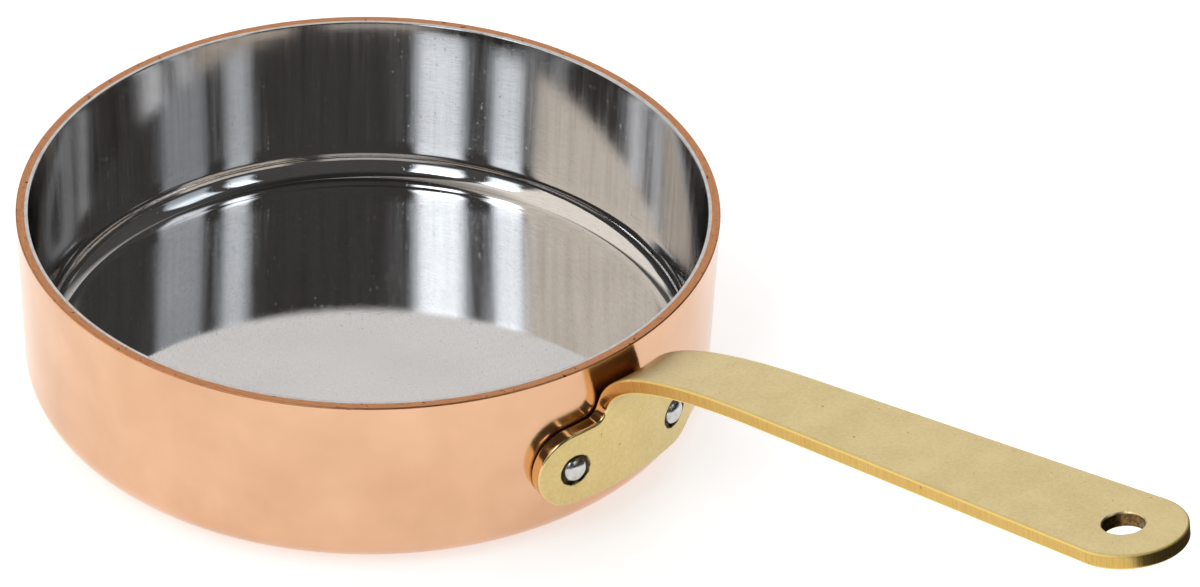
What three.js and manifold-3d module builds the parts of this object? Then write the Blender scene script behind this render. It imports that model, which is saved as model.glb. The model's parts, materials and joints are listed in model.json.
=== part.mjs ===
// A small straight-sided copper saucepan with a bright metal lining and a riveted brass bar handle.
// Millimetres, +Z up. The origin is the centre of the base, on the surface the pan stands on.
// The handle runs out along +X, and the pan is the same on both sides of the XZ plane.
import * as THREE from "three";
import { mergeVertices } from "three/addons/utils/BufferGeometryUtils.js";
import Module from "manifold-3d";

const wasm = await Module();
wasm.setup();

// ---------- pan body
const RIM_RADIUS = 72; // outside of the copper at the rim
const PAN_HEIGHT = 40.7;
const WALL_LEAN = THREE.MathUtils.degToRad(2.4); // the wall opens a little towards the rim
const CORNER_RADIUS = 8.3; // outside of the round between wall and bottom
const INNER_CORNER_RADIUS = 5.5; // inside the lining
const COPPER_THICKNESS = 1.75; // in the wall, which spinning has thinned
const BOTTOM_COPPER_THICKNESS = 3.15;
const LINING_THICKNESS = 0.75;
const BOND_GAP = 0.05; // the bonded joint between copper and lining
const RIM_EASE = 0.3; // the broken outer and inner edges of the rim
const PAN_SEGMENTS = 64;
const CORNER_STEPS = 8;

// ---------- brass bar handle
const BAR_THICKNESS = 3.2;
const FLANGE_GAP = 0.3; // between the copper wall and the back of the flange
const EAR_RADIUS = 8.7;
const EAR_SPREAD = 14.5; // from the middle of the flange to the middle of each ear, along the curve
const EAR_DROP = 21.8; // middle of the ears below the rim
const SHOULDER_RISE = THREE.MathUtils.degToRad(5); // slope of the ears' upper edge, towards the neck
const NECK_FILLET = 3;
const STRAP_ROOT_WIDTH = 14.6;
const STRAP_END_WIDTH = 24;
const STRAP_REACH = 131.3; // from the rim circle to the middle of the hanging hole, measured level
const STRAP_SLOPE = THREE.MathUtils.degToRad(9.2);
const STRAP_LIFT = 2.9; // the strap's straight upper face, carried back to the rim circle, above the rim
const BEND_RISE = 1.2; // how far above the shoulders the bar begins to bend away from the wall
const BEND_REACH = 40.2; // level length of the bend
const HANGING_HOLE_RADIUS = 4.1;
const TIP_OFFSET = 0.8; // the round end's centre lies this far beyond the hole's centre
const BAR_COLUMNS = 8;
const BEND_STEPS = 16;
const STRAP_STEPS = 4;
const TIP_STEPS = 12;
const HANGING_HOLE_SEGMENTS = 36;

// ---------- rivets
const SHANK_RADIUS = 2.4;
const SHANK_CLEARANCE = 0.3;
const OUTER_DOME_OVERHANG = 0.6; // beyond the shank
const OUTER_DOME_HEIGHT = 1.7;
const SINK_CLEARANCE = 0.4; // round the outer dome, on the floor of the shallow sink it sits in
const SINK_FLARE = 0.6; // how much wider the sink is at its mouth
const SINK_DEPTH = 0.8;
const INNER_HEAD_OVERHANG = 2.8; // beyond the shank
const INNER_HEAD_HEIGHT = 1.4;
const SEAT_CLEARANCE = 0.3; // under both ends of a rivet
const RIVET_SEGMENTS = 28;
const DOME_STEPS = 5;
const CUT_OVERRUN = 3; // how far a cutter runs past the faces it cuts

const WALL_THICKNESS = COPPER_THICKNESS + BOND_GAP + LINING_THICKNESS;
const EAR_HEIGHT = PAN_HEIGHT - EAR_DROP;
const HOLE_RADIUS = SHANK_RADIUS + SHANK_CLEARANCE;
const OUTER_DOME_RADIUS = SHANK_RADIUS + OUTER_DOME_OVERHANG;
const SINK_FLOOR_RADIUS = OUTER_DOME_RADIUS + SINK_CLEARANCE;
const INNER_HEAD_RADIUS = SHANK_RADIUS + INNER_HEAD_OVERHANG;

const copper = new THREE.MeshStandardMaterial({ color: 0xd98f6a, roughness: 0.22, metalness: 1 });
const brightLining = new THREE.MeshStandardMaterial({ color: 0xb9b7b4, roughness: 0.16, metalness: 1 });
const brass = new THREE.MeshStandardMaterial({ color: 0xcfb677, roughness: 0.34, metalness: 1 });
const rivetMetal = new THREE.MeshStandardMaterial({ color: 0xb4b2b0, roughness: 0.25, metalness: 1 });

// A closed manifold-3d solid from a three.js geometry, moved by an optional matrix.
function solid(geometry, matrix) {
  const bare = geometry.index ? geometry.toNonIndexed() : geometry.clone();
  bare.deleteAttribute("normal");
  bare.deleteAttribute("uv");
  if (matrix) bare.applyMatrix4(matrix);
  const merged = mergeVertices(bare, 1e-4);
  return new wasm.Manifold(
    new wasm.Mesh({
      numProp: 3,
      vertProperties: merged.attributes.position.array,
      triVerts: new Uint32Array(merged.index.array),
    }),
  );
}

function geometryOf(made) {
  const mesh = made.getMesh();
  const geometry = new THREE.BufferGeometry();
  geometry.setAttribute("position", new THREE.BufferAttribute(mesh.vertProperties, 3));
  geometry.setIndex(new THREE.BufferAttribute(mesh.triVerts, 1));
  geometry.computeVertexNormals();
  return geometry;
}

// A turned shape about +Z. Its profile holds (radius, height) points.
function turned(profile, segments) {
  return new THREE.LatheGeometry(profile, segments).rotateX(Math.PI / 2);
}

// ---------- pan shells
// Each face of the two shells lies `depth` inside the outer face of the wall and `bottom` above the ground.
// Its corner is an arc of radius `corner` that touches both.
const face = (depth, bottom, corner) => ({ depth, bottom, corner });
const copperOutside = face(0, 0, CORNER_RADIUS);
const copperInside = face(
  COPPER_THICKNESS,
  BOTTOM_COPPER_THICKNESS,
  INNER_CORNER_RADIUS + LINING_THICKNESS + BOND_GAP,
);
const liningOutside = face(
  COPPER_THICKNESS + BOND_GAP,
  BOTTOM_COPPER_THICKNESS + BOND_GAP,
  INNER_CORNER_RADIUS + LINING_THICKNESS,
);
const liningInside = face(
  WALL_THICKNESS,
  BOTTOM_COPPER_THICKNESS + BOND_GAP + LINING_THICKNESS,
  INNER_CORNER_RADIUS,
);

const rimRadiusOf = ({ depth }) => RIM_RADIUS - depth / Math.cos(WALL_LEAN);

function cornerCentreOf(side) {
  const height = side.bottom + side.corner;
  const reach = (side.corner + (PAN_HEIGHT - height) * Math.sin(WALL_LEAN)) / Math.cos(WALL_LEAN);
  return { radius: rimRadiusOf(side) - reach, height };
}

// A face's profile, from the axis along the bottom and up to the rim.
function panLine(side, easeAtRim) {
  const centre = cornerCentreOf(side);
  const points = [new THREE.Vector2(0, side.bottom)];
  for (let i = 0; i <= CORNER_STEPS; i++) {
    const angle = -Math.PI / 2 + (i / CORNER_STEPS) * (Math.PI / 2 - WALL_LEAN);
    points.push(
      new THREE.Vector2(
        centre.radius + side.corner * Math.cos(angle),
        centre.height + side.corner * Math.sin(angle),
      ),
    );
  }
  const rim = rimRadiusOf(side);
  if (easeAtRim === 0) {
    points.push(new THREE.Vector2(rim, PAN_HEIGHT));
  } else {
    points.push(new THREE.Vector2(rim, PAN_HEIGHT - Math.abs(easeAtRim)));
    points.push(new THREE.Vector2(rim - easeAtRim, PAN_HEIGHT));
  }
  return points;
}

function shell(outside, inside, outerEase, innerEase) {
  const outer = panLine(outside, outerEase);
  const inner = panLine(inside, innerEase).reverse();
  return turned([...outer, ...inner], PAN_SEGMENTS);
}

const wallRadiusAt = (height) => RIM_RADIUS - (PAN_HEIGHT - height) * Math.tan(WALL_LEAN);

// ---------- bar handle
// Half of the flat blank's outline as points (half width, length from the flange's lower edge). The length
// never falls from one point to the next.
function blankOutline() {
  const root = STRAP_ROOT_WIDTH / 2;
  const end = STRAP_END_WIDTH / 2;
  const outline = new THREE.Path();
  outline.absarc(EAR_SPREAD, EAR_RADIUS, EAR_RADIUS, -Math.PI / 2, Math.PI / 2 - SHOULDER_RISE, false);
  // the shoulder is a straight slope from the ear to the fillet at the neck
  const earTop = new THREE.Vector2(
    EAR_SPREAD + EAR_RADIUS * Math.sin(SHOULDER_RISE),
    EAR_RADIUS + EAR_RADIUS * Math.cos(SHOULDER_RISE),
  );
  const filletCentre = root + NECK_FILLET;
  const filletFoot = filletCentre - NECK_FILLET * Math.sin(SHOULDER_RISE);
  const footLength = earTop.y + (earTop.x - filletFoot) * Math.tan(SHOULDER_RISE);
  const filletHeight = footLength + NECK_FILLET * Math.cos(SHOULDER_RISE);
  outline.absarc(filletCentre, filletHeight, NECK_FILLET, -Math.PI / 2 - SHOULDER_RISE, -Math.PI, true);
  return { points: outline.getPoints(12), root, end, neck: filletHeight };
}

// The bar's lower (outer) face along the middle of the handle, as a curve in the XZ plane: up the wall, round
// the bend and out along the strap.
const strapLower = (x) =>
  PAN_HEIGHT + STRAP_LIFT + (x - RIM_RADIUS) * Math.tan(STRAP_SLOPE) - BAR_THICKNESS / Math.cos(STRAP_SLOPE);
const flangeFaceAt = (height) => wallRadiusAt(height) + (FLANGE_GAP + BAR_THICKNESS) / Math.cos(WALL_LEAN);

const blank = blankOutline();
const flangeFoot = EAR_HEIGHT - EAR_RADIUS * Math.cos(WALL_LEAN);
const bendFoot = flangeFoot + (blank.neck + BEND_RISE - NECK_FILLET) * Math.cos(WALL_LEAN);
const holeX = RIM_RADIUS + STRAP_REACH;
const tipRadius = STRAP_END_WIDTH / 2;

function barPath() {
  const foot = new THREE.Vector2(flangeFaceAt(flangeFoot), flangeFoot);
  const bendStart = new THREE.Vector2(flangeFaceAt(bendFoot), bendFoot);
  const bendEndX = bendStart.x + BEND_REACH;
  const bendEnd = new THREE.Vector2(bendEndX, strapLower(bendEndX));
  // the two straight runs meet at the bend's control point
  const lean = Math.tan(WALL_LEAN);
  const slope = Math.tan(STRAP_SLOPE);
  const cornerX = (bendStart.x + lean * (strapLower(0) - bendStart.y)) / (1 - lean * slope);
  const corner = new THREE.Vector2(cornerX, strapLower(cornerX));
  const tipX = holeX + (TIP_OFFSET + tipRadius) * Math.cos(STRAP_SLOPE);
  const tip = new THREE.Vector2(tipX, strapLower(tipX));
  return {
    flange: new THREE.LineCurve(foot, bendStart),
    bend: new THREE.QuadraticBezierCurve(bendStart, corner, bendEnd),
    strap: new THREE.LineCurve(bendEnd, tip),
  };
}

const path = barPath();
const flangeLength = path.flange.getLength();
const bendLength = path.bend.getLength();
const strapLength = path.strap.getLength();
const barLength = flangeLength + bendLength + strapLength;

// Point and direction on the bar's lower face at a length from the flange's foot.
function along(length) {
  if (length <= flangeLength) {
    return { at: path.flange.getPointAt(length / flangeLength), way: path.flange.getTangentAt(0) };
  }
  if (length < flangeLength + bendLength) {
    const share = (length - flangeLength) / bendLength;
    return { at: path.bend.getPointAt(share), way: path.bend.getTangentAt(share) };
  }
  const share = Math.min(1, (length - flangeLength - bendLength) / strapLength);
  return { at: path.strap.getPointAt(share), way: path.strap.getTangentAt(0) };
}

// Rows of the bar: each has a length from the foot and a half width.
function barRows() {
  const rows = blank.points.map((p) => ({ length: p.y, half: p.x }));
  const tipCentre = barLength - tipRadius;
  const taper = (length) =>
    blank.root + ((blank.end - blank.root) * (length - blank.neck)) / (tipCentre - blank.neck);
  const straightRow = (length) => rows.push({ length, half: taper(length) });
  for (let i = 1; i <= BEND_STEPS; i++) {
    const length = flangeLength + (bendLength * i) / BEND_STEPS;
    if (length > blank.neck + 0.5) straightRow(length);
  }
  const lastBend = flangeLength + bendLength;
  for (let i = 1; i <= STRAP_STEPS; i++) {
    straightRow(lastBend + ((tipCentre - lastBend) * i) / STRAP_STEPS);
  }
  for (let i = 1; i < TIP_STEPS; i++) {
    const angle = ((i / TIP_STEPS) * Math.PI) / 2;
    rows.push({
      length: tipCentre + tipRadius * Math.sin(angle),
      half: tipRadius * Math.cos(angle),
    });
  }
  return rows;
}

// The blank bent to shape: across the flange it follows the round wall, and this cross curve fades out in the
// bend, so that the strap is flat.
function bentBar() {
  const rows = barRows();
  const geometry = new THREE.BoxGeometry(2, 1, 1, BAR_COLUMNS, rows.length - 1, 1);
  const position = geometry.attributes.position;
  for (let i = 0; i < position.count; i++) {
    const row = rows[Math.round((position.getY(i) + 0.5) * (rows.length - 1))];
    const width = position.getX(i) * row.half;
    const depth = position.getZ(i) > 0 ? 0 : BAR_THICKNESS;
    const { at, way } = along(row.length);
    const fade = THREE.MathUtils.smoothstep(row.length, flangeLength, flangeLength + bendLength * 0.6);
    const curve = Math.max(1e-5, (1 - fade) / at.x);
    const y = (1 / curve - depth) * Math.sin(curve * width);
    const inward = 1 / curve - (1 / curve - depth) * Math.cos(curve * width);
    position.setXYZ(i, at.x - way.y * inward, y, at.y + way.x * inward);
  }
  return geometry;
}

// ---------- rivets
// A rivet's seat: its origin is on the copper's outer surface and its Z axis points out of the wall.
function rivetSeat(side) {
  const angle = (side * EAR_SPREAD) / flangeFaceAt(EAR_HEIGHT);
  const seat = new THREE.Group();
  seat.rotation.set(0, 0, angle);
  const tilt = new THREE.Group();
  tilt.position.set(wallRadiusAt(EAR_HEIGHT), 0, EAR_HEIGHT);
  tilt.rotation.set(0, Math.PI / 2 + WALL_LEAN, 0);
  seat.add(tilt);
  seat.updateMatrixWorld(true);
  return { seat, tilt };
}

const flangeFace = FLANGE_GAP + BAR_THICKNESS; // above the copper's surface, in a seat's frame
const liningFace = -WALL_THICKNESS;

function domeLine(radius, base, height) {
  const points = [];
  for (let i = 0; i < DOME_STEPS; i++) {
    const angle = (i / DOME_STEPS) * (Math.PI / 2);
    points.push(new THREE.Vector2(radius * Math.cos(angle), base + height * Math.sin(angle)));
  }
  points.push(new THREE.Vector2(0, base + height));
  return points;
}

// How far the inner corner stands in from the lining's straight wall at a height.
function cornerIntrusionAt(height) {
  const { radius, height: centreHeight } = cornerCentreOf(liningInside);
  const below = Math.max(0, centreHeight - height);
  const reach = Math.sqrt(Math.max(0, INNER_CORNER_RADIUS ** 2 - below ** 2));
  return below === 0 ? 0 : Math.max(0, wallRadiusAt(height) - WALL_THICKNESS - radius - reach);
}

function rivetGeometry() {
  // the round lining comes nearer under the head's edge than under its middle, and so does a corner below it
  const innerRadius = wallRadiusAt(EAR_HEIGHT) - WALL_THICKNESS;
  const sagitta = innerRadius - Math.sqrt(innerRadius ** 2 - INNER_HEAD_RADIUS ** 2);
  const headBase = liningFace - sagitta - cornerIntrusionAt(EAR_HEIGHT - INNER_HEAD_RADIUS) - SEAT_CLEARANCE;
  const domeBase = flangeFace - SINK_DEPTH + SEAT_CLEARANCE;
  return turned(
    [
      ...domeLine(INNER_HEAD_RADIUS, headBase, -INNER_HEAD_HEIGHT).reverse(),
      new THREE.Vector2(SHANK_RADIUS, headBase),
      new THREE.Vector2(SHANK_RADIUS, domeBase),
      ...domeLine(OUTER_DOME_RADIUS, domeBase, OUTER_DOME_HEIGHT),
    ],
    RIVET_SEGMENTS,
  );
}

const seats = { rivet_right: rivetSeat(-1), rivet_left: rivetSeat(1) };

// The round hole for a rivet's shank, through lining, copper and flange.
function shankHole(seat) {
  const length = flangeFace + WALL_THICKNESS + 2 * CUT_OVERRUN;
  const cutter = new THREE.CylinderGeometry(HOLE_RADIUS, HOLE_RADIUS, length, RIVET_SEGMENTS);
  cutter.rotateX(Math.PI / 2);
  cutter.translate(0, 0, liningFace - CUT_OVERRUN + length / 2);
  return solid(cutter, seat.tilt.matrixWorld);
}

// The shallow sink in the flange's face that a rivet's outer dome sits in.
function sink(seat) {
  const floor = flangeFace - SINK_DEPTH;
  const slope = SINK_FLARE / SINK_DEPTH;
  const cutter = turned(
    [
      new THREE.Vector2(0, floor),
      new THREE.Vector2(SINK_FLOOR_RADIUS, floor),
      new THREE.Vector2(SINK_FLOOR_RADIUS + slope * (SINK_DEPTH + CUT_OVERRUN), flangeFace + CUT_OVERRUN),
      new THREE.Vector2(0, flangeFace + CUT_OVERRUN),
    ],
    RIVET_SEGMENTS,
  );
  return solid(cutter, seat.tilt.matrixWorld);
}

function hangingHole() {
  const cutter = new THREE.CylinderGeometry(
    HANGING_HOLE_RADIUS,
    HANGING_HOLE_RADIUS,
    BAR_THICKNESS + 2 * CUT_OVERRUN,
    HANGING_HOLE_SEGMENTS,
  );
  cutter.rotateX(Math.PI / 2);
  cutter.rotateY(-STRAP_SLOPE);
  cutter.translate(holeX, 0, strapLower(holeX) + BAR_THICKNESS / 2);
  return solid(cutter);
}

// ---------- assembly
const saucepan = new THREE.Group();

function addPiece(name, made, material) {
  const mesh = new THREE.Mesh(geometryOf(made), material);
  mesh.name = name;
  saucepan.add(mesh);
}

let body = solid(shell(copperOutside, copperInside, RIM_EASE, 0));
let lining = solid(shell(liningOutside, liningInside, 0, -RIM_EASE));
let handle = solid(bentBar()).subtract(hangingHole());
for (const seat of Object.values(seats)) {
  const hole = shankHole(seat);
  body = body.subtract(hole);
  lining = lining.subtract(hole);
  handle = handle.subtract(hole).subtract(sink(seat));
}
addPiece("copper_body", body, copper);
addPiece("steel_lining", lining, brightLining);
addPiece("brass_handle", handle, brass);

for (const [name, { seat, tilt }] of Object.entries(seats)) {
  const rivet = new THREE.Mesh(rivetGeometry(), rivetMetal);
  rivet.name = name;
  tilt.add(rivet);
  saucepan.add(seat);
}

export default saucepan;
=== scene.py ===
# %% [markdown]
# # A copper saucepan with a brass bar handle
# The pan is five real pieces: a spun copper body, a bright metal lining bonded inside it, one bent brass bar
# and two rivets. The frame brings in the plain solids of all five, and each of them gets a fine surface here.

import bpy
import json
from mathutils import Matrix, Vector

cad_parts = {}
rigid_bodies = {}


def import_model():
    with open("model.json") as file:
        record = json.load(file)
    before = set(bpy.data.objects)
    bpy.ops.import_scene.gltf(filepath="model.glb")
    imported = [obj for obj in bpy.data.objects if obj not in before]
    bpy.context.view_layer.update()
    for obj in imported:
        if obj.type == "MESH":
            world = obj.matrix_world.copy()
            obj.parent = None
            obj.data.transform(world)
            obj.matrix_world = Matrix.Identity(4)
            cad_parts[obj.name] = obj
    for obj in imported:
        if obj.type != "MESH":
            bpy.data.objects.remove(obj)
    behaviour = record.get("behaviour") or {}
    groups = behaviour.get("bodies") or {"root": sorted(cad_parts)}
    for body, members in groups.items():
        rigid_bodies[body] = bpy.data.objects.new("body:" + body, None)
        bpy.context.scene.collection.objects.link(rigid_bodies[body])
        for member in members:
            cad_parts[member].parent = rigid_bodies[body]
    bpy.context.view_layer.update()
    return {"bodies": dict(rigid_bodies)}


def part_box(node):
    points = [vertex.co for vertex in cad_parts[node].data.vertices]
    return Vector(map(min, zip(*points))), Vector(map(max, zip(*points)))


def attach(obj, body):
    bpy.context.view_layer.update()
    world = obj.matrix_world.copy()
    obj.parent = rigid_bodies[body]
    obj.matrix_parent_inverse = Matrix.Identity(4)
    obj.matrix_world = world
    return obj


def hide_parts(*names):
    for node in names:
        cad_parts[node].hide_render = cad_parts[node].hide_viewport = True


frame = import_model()

# %% The tools and the unit
import json
import math

import bmesh
import bpy
import numpy as np
from mathutils import Matrix, Vector

mm = 0.001
scene = bpy.context.scene
body_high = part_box("copper_body")[1]
rim_radius = body_high.x
pan_height = body_high.z
print("rim radius", round(rim_radius / mm, 2), "mm, height", round(pan_height / mm, 2), "mm")

# %% [markdown]
# ## Camera
# A pan like this is shown from above and from the handle's side, with a long lens so that the rim stays an
# even ellipse. The camera could be placed by hand, but here it is worked out from a few plain values: how far
# round and how high it stands, how far off, a slight tilt of the camera itself, and how far towards the
# handle it aims.

# %% The camera
camera_around = math.radians(43.05)
camera_height_angle = math.radians(34.36)
camera_tilt = math.radians(1.27)
camera_distance = 1.8557
lens_length = 270.77
aim_from_axis = 47.7 * mm

across = Vector((math.cos(camera_around), math.sin(camera_around), 0))
level_ahead = Vector((-math.sin(camera_around), math.cos(camera_around), 0))
ahead = math.cos(camera_height_angle) * level_ahead - Vector((0, 0, math.sin(camera_height_angle)))
upright = across.cross(ahead)
right = math.cos(camera_tilt) * across + math.sin(camera_tilt) * upright
up = math.cos(camera_tilt) * upright - math.sin(camera_tilt) * across
aim = aim_from_axis * across + Vector((0, 0, pan_height / 2))

camera_data = bpy.data.cameras.new("camera")
camera_data.sensor_width = 36
camera_data.lens = lens_length
camera = bpy.data.objects.new("camera", camera_data)
camera.matrix_world = Matrix.Translation(aim - camera_distance * ahead) @ Matrix(
    (right, up, -ahead)
).transposed().to_4x4()
scene.collection.objects.link(camera)
scene.camera = camera
print("camera at", [round(x, 3) for x in camera.matrix_world.translation])

# %% [markdown]
# ## Shading by nodes
# Every finish below is a small tree of nodes. They could be drawn by hand in the node editor, but as code the
# same few steps come back in every finish, so each step is a helper: one adds a node and fills or links its
# sockets, and the others add a colour ramp, a sum, a mix of two tones and an empty material.


# %% One node, with its sockets filled or linked
def node(tree, kind, inputs=(), **options):
    """Adds a shader node. inputs pairs a socket's name or number with a value or with another node's
    output."""
    made = tree.nodes.new("ShaderNode" + kind)
    for name, value in options.items():
        setattr(made, name, value)
    for key, value in dict(inputs).items():
        if isinstance(value, bpy.types.NodeSocket):
            tree.links.new(value, made.inputs[key])
        else:
            made.inputs[key].default_value = value
    return made


# %% Ramps, sums and mixes
def ramp(tree, value, stops):
    """A colour ramp over value. stops holds (place, grey or colour) pairs in rising order."""
    made = node(tree, "ValToRGB", {"Fac": value})
    elements = made.color_ramp.elements
    while len(elements) < len(stops):
        elements.new(0.5)
    for element, (place, colour) in zip(elements, stops):
        element.position = place
        shade = (colour,) * 3 if isinstance(colour, (int, float)) else tuple(colour)
        element.color = (*shade, 1)
    return made.outputs["Color"]


def maths(tree, operation, *values):
    """The output of a math node over values or sockets."""
    return node(tree, "Math", dict(enumerate(values)), operation=operation).outputs[0]


def mixed(tree, share, first, second, blend="MIX"):
    """A colour: first where share is 0, and second laid over it by the blend where share is 1."""
    sockets = {0: share}
    for key, value in ((6, first), (7, second)):
        sockets[key] = value if isinstance(value, bpy.types.NodeSocket) else (*value, 1)
    return node(tree, "Mix", sockets, data_type="RGBA", blend_type=blend).outputs[2]


def between(tree, share, first, second):
    """A number: first where share is 0 and second where it is 1."""
    return node(tree, "Mix", {0: share, 2: first, 3: second}, data_type="FLOAT").outputs[0]


# %% An empty material
def new_material(name):
    """An empty node material: the material, its tree and its main shader."""
    made = bpy.data.materials.new(name)
    made.use_nodes = True
    return made, made.node_tree, made.node_tree.nodes["Principled BSDF"]


def set_shader(shader, **values):
    """Sets a shader's own sockets: each name is a socket's, with an underscore for a space."""
    for name, value in values.items():
        shader.inputs[name.replace("_", " ")].default_value = value


# %% [markdown]
# ## Floor
# The pan stands on a plain pale table. The table is lit from inside as well, so that shadows stay light. Its
# sheet lies a hair below the ground, so that it never fights with the pan's flat bottom, and it is clear when
# it is seen from below, so that the bottom can be looked at too.

# %% A flat sheet for the floor
floor_half = 3.0
floor_drop = 0.03 * mm


def sheet(name, places):
    """An object with one four-sided face, from its four corners in order."""
    mesh = bpy.data.meshes.new(name)
    mesh.from_pydata([tuple(place) for place in places], [], [(0, 1, 2, 3)])
    made = bpy.data.objects.new(name, mesh)
    scene.collection.objects.link(made)
    return made


corners = [(-1, -1), (1, -1), (1, 1), (-1, 1)]
floor = sheet("floor", [(floor_half * x, floor_half * y, -floor_drop) for x, y in corners])
print("floor", 2 * floor_half, "m across")

# %% The floor's finish
floor_finish, tree, shader = new_material("lit white table")
set_shader(shader, Roughness=0.9, Base_Color=(0.75, 0.75, 0.75, 1))
set_shader(shader, Emission_Color=(1.0, 0.99, 0.98, 1), Emission_Strength=0.6)
from_below = node(tree, "NewGeometry").outputs["Backfacing"]
clear = node(tree, "BsdfTransparent")
lit_or_clear = node(tree, "MixShader", {0: from_below, 1: shader.outputs[0], 2: clear.outputs[0]})
tree.links.new(lit_or_clear.outputs[0], tree.nodes["Material Output"].inputs["Surface"])
floor.data.materials.append(floor_finish)
print("floor finish:", len(tree.nodes), "nodes")

# %% [markdown]
# ## The room in the metal
# Polished metal shows the room more than itself, so the room matters. A studio for metal has a pale wall
# behind the object and round to the left, is dark behind the camera, and has tall soft boxes whose mirror
# images become the upright bright bands inside the pan. The boxes could be built as lamps, but painted on the
# world they are quick and their edges can be soft. A place on the world is given by its heading, in degrees
# from the camera's side round to the camera's right, and by its height, from 0 when level to 1 straight up.

# %% Heading and height of each direction
box_foot_height = 0.49
box_lean = -0.6
world = bpy.data.worlds.new("studio")
scene.world = world
world.use_nodes = True
tree = world.node_tree
background = tree.nodes["Background"]
direction = node(tree, "TexCoord").outputs["Generated"]
spun = {"Vector": direction, "Axis": (0, 0, 1), "Angle": -camera_around}
turned_direction = node(tree, "VectorRotate", spun, rotation_type="AXIS_ANGLE").outputs["Vector"]
parts = node(tree, "SeparateXYZ", {"Vector": turned_direction})
towards_camera = maths(tree, "MULTIPLY", parts.outputs["Y"], -1.0)
heading_angle = maths(tree, "ARCTAN2", parts.outputs["X"], towards_camera)
over_foot = {0: parts.outputs["Z"], 1: box_foot_height}
above_box_foot = node(tree, "Math", over_foot, operation="SUBTRACT", use_clamp=True).outputs[0]
lean_factor = maths(tree, "MULTIPLY_ADD", above_box_foot, box_lean, 1.0)
leaning_angle = maths(tree, "MULTIPLY", heading_angle, lean_factor)
print("soft boxes lean apart above height", box_foot_height)


# %% Greys over the heading
def by_heading(stops, angle=heading_angle):
    """A grey ramp over the heading. stops holds (heading in degrees, grey) pairs in rising order."""
    share = maths(tree, "MULTIPLY_ADD", angle, 1 / math.tau, 0.5)
    return ramp(tree, share, [(heading / 360 + 0.5, grey) for heading, grey in stops])


def boxes_by_heading(boxes, blur):
    """Grey 0 but inside the boxes, given as (middle, width, grey). They lean apart and have blurred
    edges."""
    stops = []
    for middle, width, grey in boxes:
        inner, outer = width / 2 - blur, width / 2 + blur
        stops += [(middle - outer, 0), (middle - inner, grey), (middle + inner, grey), (middle + outer, 0)]
    return by_heading(stops, leaning_angle)


# %% The walls: pale behind the pan, a warm screen on the left, dark by the camera and on the right
pale_wall, dark_wall, screen_white = 0.82, 0.08, 1.0
wall_stops = [(-180, pale_wall), (-152, pale_wall), (-146, 0.1), (-132, 0.1), (-124, screen_white)]
wall_stops += [(-59, screen_white), (-55, dark_wall), (70, 0.07), (128, dark_wall), (150, pale_wall)]
walls = by_heading(wall_stops)
left_screen = by_heading([(-140, 0), (-130, 1), (-60, 1), (-54, 0)])
warm_white = (1.0, 0.955, 0.88)
screen_tint = mixed(tree, left_screen, (1, 1, 1), warm_white)
above = ramp(tree, parts.outputs["Z"], [(0.0, 1.0), (0.9, 1.0), (0.97, 0.35), (1.0, 0.35)])
wall_tone = mixed(tree, 1.0, mixed(tree, 1.0, walls, screen_tint, "MULTIPLY"), above, "MULTIPLY")
print("walls drawn with", len(wall_stops), "stops")

# %% The four soft boxes, brightest near their upper ends, and a little blue against the warm screen
box_blur = 1.4
box_light = (4.5, 5.05, 5.6)
box_places = [(-46.5, 11, 0.9), (-22.5, 16, 1.0), (47, 9, 0.52), (68, 18, 0.28)]
foot_stops = [(0.36, 0.0), (0.44, 0.3), (0.55, 0.36), (0.66, 0.48)]
top_stops = [(0.76, 1.0), (0.84, 0.9), (0.87, 0.0)]
box_heights = ramp(tree, parts.outputs["Z"], foot_stops + top_stops)
box_tone = mixed(tree, 1.0, boxes_by_heading(box_places, box_blur), box_heights, "MULTIPLY")
box_tone = mixed(tree, 1.0, box_tone, box_light, "MULTIPLY")
tree.links.new(mixed(tree, 1.0, wall_tone, box_tone, "LIGHTEN"), background.inputs["Color"])
background.inputs["Strength"].default_value = 1.0
print(len(box_places), "soft boxes; the world has", len(tree.nodes), "nodes")

# %% [markdown]
# ## A dark card and an overhead box
# A polished side is only readable if something dark lies next to something bright in it. Studios set a black
# card just outside the view for that, and so does this: it stands to the right of the pan along the handle,
# and it is seen in the metal alone. The overhead box does the opposite. It lights the floor and is kept out
# of the mirror images, where it would wash the dark parts out.

# %% The dark card
card_right, card_height = 0.185, 0.09
card_near, card_far = -0.5, 0.12
card_outline = [(card_near, 0), (card_far, 0), (card_far, card_height), (card_near, card_height)]
card_corners = [card_right * across + y * level_ahead + Vector((0, 0, z)) for y, z in card_outline]
card = sheet("dark_card", card_corners)
card.visible_camera = card.visible_diffuse = card.visible_shadow = False
card_finish, tree, shader = new_material("black felt")
set_shader(shader, Base_Color=(0.02, 0.018, 0.016, 1), Roughness=1.0)
card.data.materials.append(card_finish)
print("dark card at", [round(x, 3) for x in card_corners[0]])

# %% The overhead box
overhead_data = bpy.data.lights.new("overhead box", "AREA")
overhead_data.shape = "SQUARE"
overhead_data.size = 2.4
overhead_data.energy = 12
overhead_box = bpy.data.objects.new("overhead box", overhead_data)
overhead_box.location = (0.05, 0, 1.9)
overhead_box.visible_glossy = False
scene.collection.objects.link(overhead_box)
print("overhead box at", list(overhead_box.location))

# %% [markdown]
# ## Surfaces from arrays
# All new pieces are made in one way: a numpy array of points, row by row, becomes a mesh of four-sided faces.
# Each row is a loop, so its last point is joined to its first, and points that fall together are merged, so
# poles and seams are closed. The faces are then turned outwards, which is safe because each piece is one
# closed body.


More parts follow.
